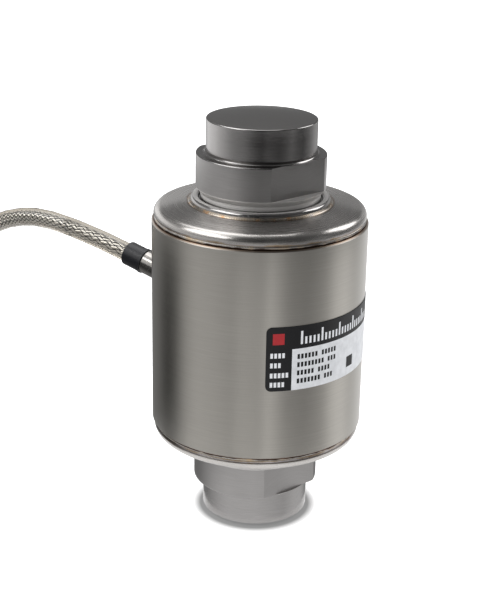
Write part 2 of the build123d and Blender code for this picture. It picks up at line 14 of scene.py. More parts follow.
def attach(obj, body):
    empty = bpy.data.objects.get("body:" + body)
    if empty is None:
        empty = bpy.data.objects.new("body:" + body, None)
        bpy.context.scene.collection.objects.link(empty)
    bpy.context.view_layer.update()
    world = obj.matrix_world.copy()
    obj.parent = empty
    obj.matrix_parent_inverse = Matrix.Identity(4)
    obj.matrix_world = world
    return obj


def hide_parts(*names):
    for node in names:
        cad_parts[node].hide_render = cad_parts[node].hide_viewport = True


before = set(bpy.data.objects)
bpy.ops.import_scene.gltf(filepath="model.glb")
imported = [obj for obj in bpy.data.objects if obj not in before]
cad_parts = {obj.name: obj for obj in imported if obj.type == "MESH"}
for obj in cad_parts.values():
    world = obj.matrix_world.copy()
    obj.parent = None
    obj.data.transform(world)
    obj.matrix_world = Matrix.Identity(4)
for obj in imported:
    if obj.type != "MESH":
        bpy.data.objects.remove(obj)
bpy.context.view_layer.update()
MM = 0.001

# %% [markdown]
# ## The camera
# The photograph was matched by its circles: each edge of a turned part shows as an ellipse, and the
# ellipses' widths and heights give the viewing angle and the distance. The camera looks down by about
# twenty degrees from half a metre, with the cell leaning very slightly to the right in the picture. The
# lens is long, so that the sides of the housing stay almost parallel.

# %% Camera
PICTURE = (500, 603)        # the photograph's width and height in pixels
FOCAL_PIXELS = 1375.1       # the lens in the same pixels
PITCH = radians(20.486)     # how far the camera looks down
ROLL = radians(1.093)       # how far the cell leans to the right
DISTANCE = 498.5 * MM
AIM = Vector((0, 0, 75 * MM))
SIDESTEP = 3.0 * MM         # the cell stands this far right of the picture's middle
RISE = -5.8 * MM            # and this far above it, so it stands a little below
NEAREST = 10 * MM           # nothing closer to the camera is drawn


def photo_camera():
    """The camera, placed by its own right, up and forward directions."""
    right = Vector((1, 0, 0))
    forward = Vector((0, cos(PITCH), -sin(PITCH)))
    up = right.cross(forward)
    place = AIM - right * SIDESTEP - up * RISE - forward * DISTANCE
    turn = Matrix((
        right * cos(ROLL) + up * sin(ROLL),
        up * cos(ROLL) - right * sin(ROLL),
        -forward,
    )).transposed()
    data = bpy.data.cameras.new("photo_camera")
    data.lens = FOCAL_PIXELS * data.sensor_width / max(PICTURE)
    data.clip_start = NEAREST
    camera = bpy.data.objects.new("photo_camera", data)
    camera.matrix_world = Matrix.Translation(place) @ turn.to_4x4()
    bpy.context.scene.collection.objects.link(camera)
    bpy.context.scene.camera = camera
    return camera


camera = photo_camera()
print("lens", round(camera.data.lens, 1), "mm, camera at", [round(v, 3) for v in camera.location])

# %% [markdown]
# ## The cable's route
# A cable is stiff, so it can't turn sharply: it leaves the nipple straight, arches over and comes down to
# the coil in one easy curve. A NURBS curve draws exactly that from a few control points. The points are
# the same corners as in the CAD model's tube. The rest of the cable, which the photograph doesn't show, is
# wound for storage: each layer of turns lies in the hollows of the layer below, like stacked pipes.

# %% The stretch from the sleeve to the coil
CABLE_R = 3.65 * MM
OUTLET_AZIMUTH = radians(150)       # from +X towards +Y
OUTLET_RISE = radians(14.6)
OUTLET_HEIGHT = 74.5 * MM           # where the outlet's axis meets the column's
NIPPLE_END = 54.18 * MM             # along the outlet's axis
CABLE_STRAIGHT = 36.0 * MM          # how far the cable runs on before it bends
DESCENT = (                         # the CAD tube's corners from there to the coil, in mm
    (-99.5, 54.8, 95.5),
    (-120.5, 62.5, 79.5),
    (-138.0, 67.5, 60.0),
    (-155.5, 69.0, 46.2),
    (-173.4, 64.35, 34.2),
    (-195.9, 56.2, 32.1),
)


def outlet_point(along):
    """A point on the outlet's rising axis, measured from the column's axis."""
    level = Vector((cos(OUTLET_AZIMUTH), sin(OUTLET_AZIMUTH), 0))
    return Vector((0, 0, OUTLET_HEIGHT + along * sin(OUTLET_RISE))) + level * along * cos(OUTLET_RISE)


exit_point = outlet_point(NIPPLE_END)
descent = [exit_point, outlet_point(NIPPLE_END + CABLE_STRAIGHT)]
descent += [Vector(corner) * MM for corner in DESCENT]
print("the cable leaves at", [round(v / MM, 1) for v in exit_point])

# %% The coil's turns
COIL_MIDDLE = Vector((-205.3, -24.9, 0)) * MM
COIL_R = 63 * MM            # to the middle of the layers
ROWS = (4, 5, 6, 5, 4)      # turns in each layer, from the bottom
ROW_HEIGHT = CABLE_R * sqrt(3)
LOWEST = 4.65 * MM          # height of the bottom layer's middle, clear of the ties' straps
JOIN_AZIMUTH = radians(110)     # where the cable comes down to the coil
POINTS_PER_TURN = 16
CROSSING = 2                # points over which a turn moves across to the next place
TAIL_AZIMUTH = radians(250)     # where the last turn leaves its layer


def coil_point(radius, azimuth, height):
    """A point beside the coil, from its middle."""
    return COIL_MIDDLE + Vector((radius * cos(azimuth), radius * sin(azimuth), height))


def turn_places():
    """(radius, height) of each turn, snaking from the outside of the top layer down to the bottom."""
    places = []
    inwards = True
    for layer in reversed(range(len(ROWS))):
        count = ROWS[layer]
        steps = [number - (count - 1) / 2 for number in range(count)]
        for step in sorted(steps, reverse=inwards):
            places.append((COIL_R + step * 2 * CABLE_R, LOWEST + layer * ROW_HEIGHT))
        inwards = not inwards
    return places


turns = turn_places()
part_turn = (TAIL_AZIMUTH - JOIN_AZIMUTH) / (2 * pi)
winding = []
for number in range(round((len(turns) - 1 + part_turn) * POINTS_PER_TURN) + 1):
    turn, place = divmod(number, POINTS_PER_TURN)
    radius, height = turns[turn]
    if turn > 0 and place < CROSSING:
        share = (place + 1) / (CROSSING + 1)
        before = turns[turn - 1]
        radius = before[0] + (radius - before[0]) * share
        height = before[1] + (height - before[1]) * share
    azimuth = JOIN_AZIMUTH + 2 * pi * number / POINTS_PER_TURN
    winding.append(coil_point(radius, azimuth, height))
print("turns", len(turns), "points", len(winding), "lowest", round(min(p.z for p in winding) / MM, 2), "mm")

# %% The far end, which bends in to the middle of the coil
TAIL_R = 38 * MM
TAIL_LIFT = 0.4 * MM        # how far it rises above its layer
TAIL_STEPS = (28, 56, 84)   # degrees round the bend
TAIL_STRAIGHT = 6 * MM
LAYER_SINK = 1 * MM         # the CAD tail starts this far inside its layer

inner_radius = COIL_R - (ROWS[0] - 1) * CABLE_R + LAYER_SINK
bend_middle = coil_point(inner_radius - TAIL_R, TAIL_AZIMUTH, LOWEST + TAIL_LIFT)


def tail_point(turned):
    """A corner of the bend, so many degrees round it."""
    azimuth = TAIL_AZIMUTH + radians(turned)
    return bend_middle + Vector((TAIL_R * cos(azimuth), TAIL_R * sin(azimuth), 0))


tail_azimuth = TAIL_AZIMUTH + radians(TAIL_STEPS[-1])
tail_direction = Vector((-sin(tail_azimuth), cos(tail_azimuth), 0))
tail_end = tail_point(TAIL_STEPS[-1]) + tail_direction * TAIL_STRAIGHT
tail = [tail_point(turned) for turned in TAIL_STEPS] + [tail_end]
print("the jacket ends at", [round(v / MM, 1) for v in tail_end])

# %% [markdown]
# ## The cable itself
# The real cable has two visible layers: a woven steel screen, and a clear jacket round it that has turned
# slightly yellow. A texture could only fake the depth between them, so both are modelled: one curve for
# the jacket and a thinner one inside it for the screen. The jacket bends light, so that the screen
# looks half as wide again as it is, and that is why its curve is so much thinner.

# %% Two curves on one route
SCREEN_R = 1.6 * MM
JACKET_ROUND = 5            # steps of the bevel: more make the cable rounder and the mesh heavier
SCREEN_ROUND = 3
CABLE_ALONG = 4             # steps from one control point to the next


def nurbs_tube(name, points, radius, round_steps, along_steps):
    """A round tube along one open NURBS spline with these control points."""
    data = bpy.data.curves.new(name, "CURVE")
    data.dimensions = "3D"
    data.bevel_depth = 1.0  # times each point's radius, which is also what the curve's bounds go by
    data.bevel_resolution = round_steps
    data.resolution_u = along_steps
    data.use_fill_caps = True
    spline = data.splines.new("NURBS")
    spline.points.add(len(points) - 1)
    for control, point in zip(spline.points, points):
        control.co = (*point, 1)
        control.radius = radius
    spline.order_u = 3
    spline.use_endpoint_u = True
    tube = bpy.data.objects.new(name, data)
    bpy.context.scene.collection.objects.link(tube)
    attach(tube, "root")
    return tube


route = descent + winding + tail
cable = nurbs_tube("cable_jacket", route, CABLE_R, JACKET_ROUND, CABLE_ALONG)
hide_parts("cable", "cable_coil")
screen = nurbs_tube("cable_screen", route, SCREEN_R, SCREEN_ROUND, CABLE_ALONG)
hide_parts("cable", "cable_coil")
print("control points", len(route), "length", round(cable.data.splines[0].calc_length(), 3), "m")

# %% [markdown]
# ## Nodes, with little code
# Every finish below is a graph of nodes. One small function adds a node, sets what it has to set and
# links what goes into it, so that each finish reads as a list of steps. A plain number goes to the socket
# itself, and a node stands for its first output.

# %% One function for nodes
def feed(node, inputs):
    """Sets or links inputs of a node, which may be values, sockets or nodes."""
    for name, value in inputs.items():
        if isinstance(value, bpy.types.Node):
            value = value.outputs[0]
        if isinstance(value, bpy.types.NodeSocket):
            node.id_data.links.new(value, node.inputs[name])
        else:
            node.inputs[name].default_value = value


def add(tree, kind, inputs=None, ramp=None, **settings):
    """Adds a node with its settings and inputs; a ramp is a list of (place, colour)."""
    made = tree.nodes.new("ShaderNode" + kind)
    for name, value in settings.items():
        setattr(made, name, value)
    feed(made, inputs or {})
    if ramp:
        stops = made.color_ramp.elements
        while len(stops) < len(ramp):
            stops.new(0.5)
        for stop, (place, tone) in zip(stops, ramp):
            stop.position = place
            stop.color = tone
    return made


# %% Colours, and spans of numbers
NOISE = (0.3, 0.7)          # nearly all of a noise's values lie between these


def colour(code):
    """An sRGB hex value as the linear colour that a shader takes."""
    parts = [int(code[start:start + 2], 16) / 255 for start in (1, 3, 5)]
    return (*[p / 12.92 if p <= 0.04045 else ((p + 0.055) / 1.055) ** 2.4 for p in parts], 1.0)


def grey(level):
    """A neutral linear level, for masks and lights."""
    return (level, level, level, 1.0)


def hex_ramp(pairs):
    """Pairs of a place and a hex value, as the stops of a ramp."""
    return [(place, colour(code)) for place, code in pairs]


def two_tones(dark, light):
    """The stops of a ramp that turns a noise into two hex values and all between them."""
    return hex_ramp(zip(NOISE, (dark, light)))


def span(starts, ends, low=0.0, high=1.0):
    """What a Map Range node takes to turn one span of numbers into another."""
    return {"From Min": starts, "From Max": ends, "To Min": low, "To Max": high}


print("mid grey in linear light", [round(v, 3) for v in colour("#808080")])

# %% A material with its Principled shader, given to nodes of the frame
def new_material(name, metallic=0.0, roughness=0.5, ior=None, **constants):
    """Constants are set on the shader's own sockets, named with _ for a space."""
    material = bpy.data.materials.new(name)
    material.use_nodes = True
    shader = material.node_tree.nodes["Principled BSDF"]
    feed(shader, {"Metallic": metallic, "Roughness": roughness})
    if ior:
        feed(shader, {"IOR": ior})
    feed(shader, {socket.replace("_", " "): value for socket, value in constants.items()})
    return material, material.node_tree, shader


def dress(material, *names):
    """Gives the material to CAD nodes or to new pieces."""
    for name in names:
        data = bpy.data.objects[name].data
        if data.materials:
            data.materials[0] = material
        else:
            data.materials.append(material)
    print(material.name, "on", ", ".join(names))


# %% [markdown]
# ## Marks of the lathe
# A lathe or a polishing belt leaves fine lines that run round the piece. The eye sees them as a
# reflection that is sharp round the piece but stretched along its profile, and that stretch is what
# makes the bright upright bands of a satin tube. Two things draw it here: the shader's anisotropy, whose
# tangent follows the profile, and a noise that changes slowly round the axis and quickly along the
# profile. Both are worked out from Object coordinates, which have no seam.

# %% Places measured from the column's axis
MIDDLE_HEIGHT = 75.0


def in_mm(tree):
    """The place on the piece in mm, from its Object coordinates."""
    place = add(tree, "TexCoord").outputs["Object"]
    return add(tree, "VectorMath", {0: place, "Scale": 1 / MM}, operation="SCALE")


def axis_places(tree):
    """Nodes for radius, the level direction from the axis, height and the place along the profile, in mm."""
    at = in_mm(tree)
    split = add(tree, "SeparateXYZ", {0: at})
    level = add(tree, "CombineXYZ", {"X": split.outputs["X"], "Y": split.outputs["Y"]})
    radius = add(tree, "VectorMath", {0: level}, operation="LENGTH").outputs["Value"]
    outwards = add(tree, "VectorMath", {0: level}, operation="NORMALIZE")
    from_middle = add(tree, "Math", {0: split.outputs["Z"], 1: -MIDDLE_HEIGHT}, operation="ADD")
    end_height = add(tree, "Math", {0: from_middle}, operation="ABSOLUTE")
    profile = add(tree, "Math", {0: end_height, 1: radius}, operation="SUBTRACT")
    return {"at": at, "radius": radius, "outwards": outwards, "height": split.outputs["Z"],
            "end_height": end_height, "profile": profile}


print("end heights are counted from", MIDDLE_HEIGHT, "mm, where both halves of the cell meet")

# %% What fine marks do to a surface
def marked(tree, marks, gloss, depth):
    """They take the roughness from its lowest to its highest and stand up by a depth in mm."""
    return {"Roughness": add(tree, "MapRange", {"Value": marks, **span(*NOISE, *gloss)}),
            "Normal": add(tree, "Bump", {"Height": marks, "Distance": depth * MM})}



# %% Lines round the axis, and the directions that go with them
FINER = {"Detail": 3.0, "Roughness": 0.6}       # each line has finer ones in it, nearly as strong


def round_grain(tree, places, line, turn):
    """Noise in lines that run round the axis: line is their width in mm, turn their length in radians."""
    around = add(tree, "VectorMath", {0: places["outwards"], "Scale": 1 / turn}, operation="SCALE")
    parts = add(tree, "SeparateXYZ", {0: around})
    along = add(tree, "Math", {0: places["profile"], 1: 1 / line}, operation="MULTIPLY")
    vector = add(tree, "CombineXYZ", {"X": parts.outputs["X"], "Y": parts.outputs["Y"], "Z": along})
    return add(tree, "TexNoise", {"Vector": vector, "Scale": 1.0, **FINER})


def profile_tangent(tree, places):
    """The direction along the profile: square to the surface's normal and to the way round."""
    parts = add(tree, "SeparateXYZ", {0: places["outwards"]})
    back = add(tree, "Math", {0: parts.outputs["Y"], 1: -1.0}, operation="MULTIPLY")
    around = add(tree, "CombineXYZ", {"X": back, "Y": parts.outputs["X"]})
    normal = add(tree, "NewGeometry").outputs["Normal"]
    return add(tree, "VectorMath", {0: around, 1: normal}, operation="CROSS_PRODUCT")


def way_round(tree, places):
    """The angle round the axis in radians."""
    parts = add(tree, "SeparateXYZ", {0: places["outwards"]})
    return add(tree, "Math", {0: parts.outputs["Y"], 1: parts.outputs["X"]}, operation="ARCTAN2")


# %% [markdown]
# ## Satin stainless: the housing tube
# The tube was brushed with a fine belt while it turned. Its grit leaves lines about a tenth of a
# millimetre wide, which a picture this size can't show, so they are drawn three times as wide. A second,
# much larger noise keeps the tone from being dead even. The last half millimetre, beside the weld, is
# smoked brown.

# %% Satin stainless
TUBE_LINE, TUBE_TURN = 0.3, 0.5     # mm and radians
TUBE_GLOSS = (0.31, 0.36)   # lowest and highest roughness
TUBE_DEPTH = 0.001          # mm
CLOUD = 25.0                # mm from one cloud of tone to the next
TUBE_RIM = 38.0             # from the middle of the cell to the tube's rim
SMOKE_REACH = 0.5


def steel_tone(tree, places, grain, dark, light, cloud_share=0.3):
    """The steel's colour, between a dark and a light tone, by its lines and by larger clouds."""
    clouds = add(tree, "TexNoise", {"Vector": places["at"], "Scale": 1 / CLOUD, "Detail": 2.0})
    mixed = add(tree, "Math", {0: grain, 1: 1 - cloud_share}, operation="MULTIPLY")
    mixed = add(tree, "Math", {0: clouds, 1: cloud_share, 2: mixed}, operation="MULTIPLY_ADD")
    return add(tree, "ValToRGB", {"Fac": mixed}, ramp=two_tones(dark, light))


satin, tree, shader = new_material("satin_stainless", metallic=1.0, Anisotropic=0.75)
places = axis_places(tree)
lines = round_grain(tree, places, TUBE_LINE, TUBE_TURN)
tone = steel_tone(tree, places, lines, "#908D88", "#9A9791")
at_rim = add(tree, "MapRange", {"Value": places["end_height"], **span(TUBE_RIM - SMOKE_REACH, TUBE_RIM)})
feed(shader, {
    "Base Color": add(tree, "MixRGB", {"Fac": at_rim, "Color1": tone, "Color2": colour("#75604F")}),
    **marked(tree, lines, TUBE_GLOSS, TUBE_DEPTH),
    "Tangent": profile_tangent(tree, places),
})
dress(satin, "housing_tube")

# %% [markdown]
# ## Heat tints: the covers
# Beside a weld, stainless steel turns straw, brown and then blue-violet, because the heat grows an oxide
# film whose thickness falls off within a millimetre or two. A colour ramp on the distance from the weld
# draws it, and a noise shifts the distance, since no weld heats evenly. The covers themselves are polished
# in circles, so their reflection is drawn out along the cone into fans, and it is brighter than the tube's.

# %% Oxide colours beside a weld
TINTS = [(0.0, "#3A2E29"), (0.25, "#6B5443"), (0.5, "#958874"), (0.75, "#918C92"), (1.0, "#9B9995")]
TINT_WANDER = (-0.3, 0.3)   # how far the colours stray, as a share of their reach
TINT_FADES = 0.6            # from this share of the reach on they give way to the bare steel


def heat_tint(tree, tone, distance, reach, wander):
    """Lays oxide colours over a tone: distance from the weld and reach are in mm."""
    shift = add(tree, "MapRange", {"Value": wander, **span(*NOISE, *TINT_WANDER)})
    share = add(tree, "Math", {0: distance, 1: 1 / reach, 2: shift}, operation="MULTIPLY_ADD")
    tint = add(tree, "ValToRGB", {"Fac": share}, ramp=hex_ramp(TINTS))
    near = add(tree, "MapRange", {"Value": share, **span(TINT_FADES, 1.0, 1.0, 0.0)})
    return add(tree, "MixRGB", {"Fac": near, "Color1": tone, "Color2": tint})


print("oxide colours", len(TINTS))

# %% Polished covers with tinted edges
COVER_LINE, COVER_TURN = 0.3, 0.7   # mm and radians
COVER_GLOSS = (0.2, 0.3)
COVER_DEPTH = 0.0015        # mm
BEAD_EDGE_R = 25.3          # outer edge of the weld round the bead
BEAD_REACH = 1.2            # mm over which the oxide fades
COVER_RIM_HEIGHT = 39.2     # from the middle of the cell to the cover's rim
RIM_REACH = 1.5
RIM_START = 0.6             # the rim is this much further from the heat
HEAT_PATCHES = 0.15         # per mm: the heat changes over some 7 mm

cover_steel, tree, shader = new_material("polished_stainless", metallic=1.0, Anisotropic=0.8)
places = axis_places(tree)
lines = round_grain(tree, places, COVER_LINE, COVER_TURN)
patches = add(tree, "TexNoise", {"Vector": places["at"], "Scale": HEAT_PATCHES, "Detail": 3.0})
from_bead = add(tree, "Math", {0: places["radius"], 1: BEAD_EDGE_R}, operation="SUBTRACT")
from_rim = add(tree, "Math", {0: places["end_height"], 1: COVER_RIM_HEIGHT}, operation="SUBTRACT")
from_heat = add(tree, "Math", {0: from_rim, 1: RIM_START}, operation="ADD")
tone = steel_tone(tree, places, lines, "#A19E9B", "#B3B0AD", cloud_share=0.5)
tone = heat_tint(tree, tone, from_bead, BEAD_REACH, patches)
feed(shader, {
    "Base Color": heat_tint(tree, tone, from_heat, RIM_REACH, patches),
    **marked(tree, lines, COVER_GLOSS, COVER_DEPTH),
    "Tangent": profile_tangent(tree, places),
})
dress(cover_steel, "upper_cover", "lower_cover")

# %% [markdown]
# ## Turned steel: the rocker column
# The column is machined all over, but not everywhere in the same way. The button's side is ground and
# bright, the collars are turned and duller, and the end faces and ledges have only a fine bloom. One
# material holds them all, because the column is one piece: masks on the height and on the normal choose
# between the marks. Most of the small round in the upper button's root is rougher and painted darker,
# a painted shade in that corner. The groove beside each bead is pale, matt and less metallic: painted
# light, which brightens a groove that the collar above keeps in shade.

# %% Masks on the column's height and normal
BUTTON_ROOT_HEIGHT = 61.7   # from the middle of the cell to the foot of the button
BUTTON_ROOT = 1.2           # the round there
ROOT_BRIGHT = 0.45          # its lowest part, which is left out of the painted shade
ROOT_MIDDLE = (BUTTON_ROOT + ROOT_BRIGHT) / 2
NECK_MIDDLE = 48.2          # from the middle of the cell to the groove between collar and bead
NECK_REACH = 1.85           # half the height of the pale zone there, which is painted light
LEANING = (0.1, 0.25)       # an edge's normal rises by this much, and a side's by less
FACING = (0.9, 0.97)        # an end face's rises by this much and more

column_steel, tree, shader = new_material("turned_stainless", metallic=1.0, Anisotropic=0.7)
places = axis_places(tree)
normal_up = add(tree, "SeparateXYZ", {0: add(tree, "NewGeometry").outputs["Normal"]}).outputs["Z"]
upright = add(tree, "Math", {0: normal_up}, operation="ABSOLUTE")
leaning = add(tree, "MapRange", {"Value": upright, **span(*LEANING)})
facing_end = add(tree, "MapRange", {"Value": upright, **span(*FACING)})
on_button = add(tree, "Math", {0: places["end_height"], 1: BUTTON_ROOT_HEIGHT}, operation="GREATER_THAN")
from_root = add(tree, "Math", {0: places["height"], 1: -MIDDLE_HEIGHT - BUTTON_ROOT_HEIGHT}, operation="ADD")
in_root = add(tree, "Math", {0: from_root, 1: ROOT_MIDDLE, 2: ROOT_MIDDLE - ROOT_BRIGHT}, operation="COMPARE")
in_neck = add(tree, "Math", {0: places["end_height"], 1: NECK_MIDDLE, 2: NECK_REACH}, operation="COMPARE")
print("the dull root starts at", round(MIDDLE_HEIGHT + BUTTON_ROOT_HEIGHT + ROOT_BRIGHT, 2), "mm")

# %% Turned and ground steel
COLUMN_LINE, COLUMN_TURN = 0.4, 0.35        # mm and radians
COLUMN_DEPTH = 0.0015       # mm
BLOOM = 0.6                 # mm of the end faces' grain
TURNED_GLOSS = (0.34, 0.42)
GROUND_GLOSS = (0.19, 0.25)
END_GLOSS = (0.28, 0.34)
EDGE_GLOSS = 0.14           # rounded edges and beads are burnished by handling
ROOT_GLOSS = 0.5
NECK_GLOSS = 0.4
NECK_METAL = 0.68           # less metallic, so that the pale painted light in the groove also takes diffuse light

lines = round_grain(tree, places, COLUMN_LINE, COLUMN_TURN)
bloom = add(tree, "TexNoise", {"Vector": places["at"], "Scale": 1 / BLOOM, "Detail": 3.0, "Roughness": 0.7})
marks = add(tree, "MixRGB", {"Fac": facing_end, "Color1": lines.outputs[0], "Color2": bloom.outputs[0]})
turned_gloss = add(tree, "MapRange", {"Value": marks, **span(*NOISE, *TURNED_GLOSS)})
ground_gloss = add(tree, "MapRange", {"Value": marks, **span(*NOISE, *GROUND_GLOSS)})
end_gloss = add(tree, "MapRange", {"Value": bloom, **span(*NOISE, *END_GLOSS)})
gloss = add(tree, "MixRGB", {"Fac": on_button, "Color1": turned_gloss, "Color2": ground_gloss})
gloss = add(tree, "MixRGB", {"Fac": leaning, "Color1": gloss, "Color2": grey(EDGE_GLOSS)})
gloss = add(tree, "MixRGB", {"Fac": facing_end, "Color1": gloss, "Color2": end_gloss})
gloss = add(tree, "MixRGB", {"Fac": in_root, "Color1": gloss, "Color2": grey(ROOT_GLOSS)})
tone = steel_tone(tree, places, marks, "#8B8988", "#979594", cloud_share=0.4)
# painted shade: the root of the button gets a darker tone
tone = add(tree, "MixRGB", {"Fac": in_root, "Color1": tone, "Color2": colour("#565452")})
across = add(tree, "CombineXYZ", {"X": 1.0})
feed(shader, {
    # painted light: the groove beside each bead is pale, matt and less metallic
    "Base Color": add(tree, "MixRGB", {"Fac": in_neck, "Color1": tone, "Color2": colour("#C6C4C2")}),
    "Metallic": add(tree, "MapRange", {"Value": in_neck, **span(0.0, 1.0, 1.0, NECK_METAL)}),
    "Roughness": add(tree, "MixRGB", {"Fac": in_neck, "Color1": gloss, "Color2": grey(NECK_GLOSS)}),
    "Normal": add(tree, "Bump", {"Height": marks, "Distance": COLUMN_DEPTH * MM}),
    "Tangent": add(tree, "MixRGB", {
        "Fac": facing_end, "Color1": profile_tangent(tree, places), "Color2": across}),
})
dress(column_steel, "rocker_column")

# %% [markdown]
# ## Weld beads
# A weld made with an arc torch is a row of frozen ripples, each a small crescent. They follow the way
# round the cell, so their wave counts along the azimuth. The small welds round the beads and the nipple are
# bright, with a straw edge. In the seams at the tube's ends only the middle of the bead burnt, to a dark
# brown line that wanders and swells, with a copper glint here and there.

# %% The burnt line in a seam
SEAM_MIDDLE = 38.25         # from the middle of the cell to the line, beside the tube
BURN_W = 0.25               # half its width
BURN_WANDER = (-0.25, 0.25)     # mm up and down
BURN_SWELL = (0.5, 1.5)     # times its width
SWELL_SCALE = 0.12          # per mm: a swelling is some 8 mm long
BURN_EDGE = (0.7, 1.6)      # it fades between these shares of its width
BROWNS = [(0.48, "#3A2A22"), (0.6, "#5E4536"), (0.68, "#B48058")]


def burn_line(tree, places, patches, tone):
    """Lays a wandering dark brown line over the seam's tone."""
    wander = add(tree, "MapRange", {"Value": patches, **span(*NOISE, *BURN_WANDER)})
    slow = add(tree, "TexNoise", {"Vector": places["at"], "Scale": SWELL_SCALE})
    swell = add(tree, "MapRange", {"Value": slow, **span(*NOISE, *BURN_SWELL)})
    width = add(tree, "Math", {0: swell, 1: BURN_W}, operation="MULTIPLY")
    off = add(tree, "Math", {0: places["end_height"], 1: -SEAM_MIDDLE}, operation="ADD")
    off = add(tree, "Math", {0: off, 1: wander}, operation="ADD")
    off = add(tree, "Math", {0: off}, operation="ABSOLUTE")
    share = add(tree, "Math", {0: off, 1: width}, operation="DIVIDE")
    burnt = add(tree, "MapRange", {"Value": share, **span(*BURN_EDGE, 1.0, 0.0)})
    brown = add(tree, "ValToRGB", {"Fac": patches}, ramp=hex_ramp(BROWNS))
    return add(tree, "MixRGB", {"Fac": burnt, "Color1": tone, "Color2": brown})


print("the burnt line is", 2 * BURN_W, "mm wide")

# %% Weld metal
RIPPLE = 0.9                # mm from one ripple to the next
WELD_PATCHES = 0.25         # per mm: patches of one tone are some 4 mm wide
COOL = [(0.3, "#84807C"), (0.5, "#9B9894"), (0.7, "#A8977F")]
STRAW = [(0.35, "#7C7875"), (0.55, "#8E8477"), (0.7, "#8F6B48")]


def weld_metal(name, radius, codes, gloss, depth, burnt=False):
    """Rippled metal round the cell: radius and the ripples' depth are in mm."""
    material, tree, shader = new_material(name, metallic=1.0)
    places = axis_places(tree)
    phase = add(tree, "Math", {0: way_round(tree, places), 1: 2 * pi * radius / RIPPLE}, operation="MULTIPLY")
    ripples = add(tree, "Math", {0: phase}, operation="SINE")
    patches = add(tree, "TexNoise", {"Vector": places["at"], "Scale": WELD_PATCHES, "Detail": 4.0})
    tone = add(tree, "ValToRGB", {"Fac": patches}, ramp=hex_ramp(codes))
    if burnt:
        tone = burn_line(tree, places, patches, tone)
    feed(shader, {
        "Base Color": tone,
        "Roughness": add(tree, "MapRange", {"Value": patches, **span(*NOISE, *gloss)}),
        "Normal": add(tree, "Bump", {"Height": ripples, "Distance": depth * MM}),
    })
    return material


fillet = weld_metal("bright_fillet_weld", 25.0, STRAW, (0.2, 0.3), 0.006)
seam = weld_metal("brown_seam_weld", 37.3, COOL, (0.3, 0.4), 0.02, burnt=True)
dress(fillet, "upper_diaphragm_weld", "lower_diaphragm_weld", "nipple_weld")
dress(seam, "upper_seam_weld", "lower_seam_weld")

# %% [markdown]
# ## The outlet: a bright nipple and a black sleeve
# The nipple is stainless steel again, polished on a wheel with no set direction, so it has patches of
# higher and lower gloss and no lines. The sleeve is shrink tubing: black plastic with a touch of blue, whose
# face is slightly grained. It gives the eye one soft highlight along its back and no reflection of the room.

# %% Bright nipple
SCUFF_SCALE = 2.0           # per mm: the wheel's marks are half a millimetre wide
NIPPLE_GLOSS = (0.14, 0.24)

bright, tree, shader = new_material("bright_stainless", metallic=1.0)
scuffs = add(tree, "TexNoise", {"Vector": in_mm(tree), "Scale": SCUFF_SCALE, "Detail": 4.0})
feed(shader, {
    "Base Color": add(tree, "ValToRGB", {"Fac": scuffs}, ramp=two_tones("#8E8B88", "#A8A5A1")),
    "Roughness": add(tree, "MapRange", {"Value": scuffs, **span(*NOISE, *NIPPLE_GLOSS)}),
})
dress(bright, "cable_nipple")

# %% Black shrink sleeve
PORE_SCALE = 3.0            # per mm: the grain is a third of a millimetre wide
PORE_DEPTH = 0.01           # mm
SLEEVE_GLOSS = (0.34, 0.46)

sleeve, tree, shader = new_material("black_shrink_sleeve", ior=1.5)
pores = add(tree, "TexNoise", {"Vector": in_mm(tree), "Scale": PORE_SCALE, "Detail": 3.0})
feed(shader, {
    "Base Color": add(tree, "ValToRGB", {"Fac": pores}, ramp=two_tones("#08090D", "#101219")),
    **marked(tree, pores, SLEEVE_GLOSS, PORE_DEPTH),
})
dress(sleeve, "cable_sleeve", "end_sleeve")

# %% [markdown]
# ## The label's print
# The label is a thin silver film with a satin face, printed in black. What is printed there is a pattern
# of plain fields: a dark column and a dark band, a red square, ticks as on a ruler, rows of small blocks
# as on a blank form, and a dark square. Each field is a rectangle in two measures, the length along the
# tube's curve and the height, and stripes break some of them up into blocks or ticks.

# %% Fields and stripes
def field(tree, along, height, left, right, bottom, top):
    """1 inside a rectangle of the label, 0 outside."""
    wide = add(tree, "Math", {0: along, 1: (left + right) / 2, 2: (right - left) / 2}, operation="COMPARE")
    high = add(tree, "Math", {0: height, 1: (bottom + top) / 2, 2: (top - bottom) / 2}, operation="COMPARE")
    return add(tree, "Math", {0: wide, 1: high}, operation="MULTIPLY")


def stripes(tree, along, step, width, start):
    """1 in upright stripes of a width, one at each step from the start."""
    from_start = add(tree, "Math", {0: along, 1: -start}, operation="ADD")
    within = add(tree, "Math", {0: from_start, 1: step}, operation="FLOORED_MODULO")
    return add(tree, "Math", {0: within, 1: width}, operation="LESS_THAN")


# %% The label's layout, in mm from its lower left corner
INK, SILVER, RED = "#111114", "#E4E6EA", "#A8262C"
LABEL_W, LABEL_H = 60.0, 23.3
OVER = 1.0                  # how far a field runs past the label's edge
COLUMN_W = 9.0              # the dark column at the left
BAND_BOTTOM = 15.1          # and the dark band above
BLOCK_W, BLOCK_H, BLOCK_STEP = 0.9, 1.8, 1.35
COLUMN_START, ROW_START = 1.5, 10.95        # where the blocks in the column and beside it start
COLUMN_ROWS = ((13.05, 5.4), (9.5, 4.05), (5.8, 6.75), (2.4, 5.4))      # middle height and length
FIELD_ROWS = ((12.2, 8.1, 6.75), (9.2, 10.8, 4.05), (6.2, 6.75, 5.4), (3.2, 9.45, 4.05))    # and two lengths
TICK_W, TICK_STEP, TICK_START = 0.8, 1.6, 12.0
LONG_STEP = 5 * TICK_STEP   # every fifth tick is a long one


def block_row(start, length, middle, code):
    """A field that is broken up into blocks."""
    return (start, start + length, middle - BLOCK_H / 2, middle + BLOCK_H / 2, code, "blocks")


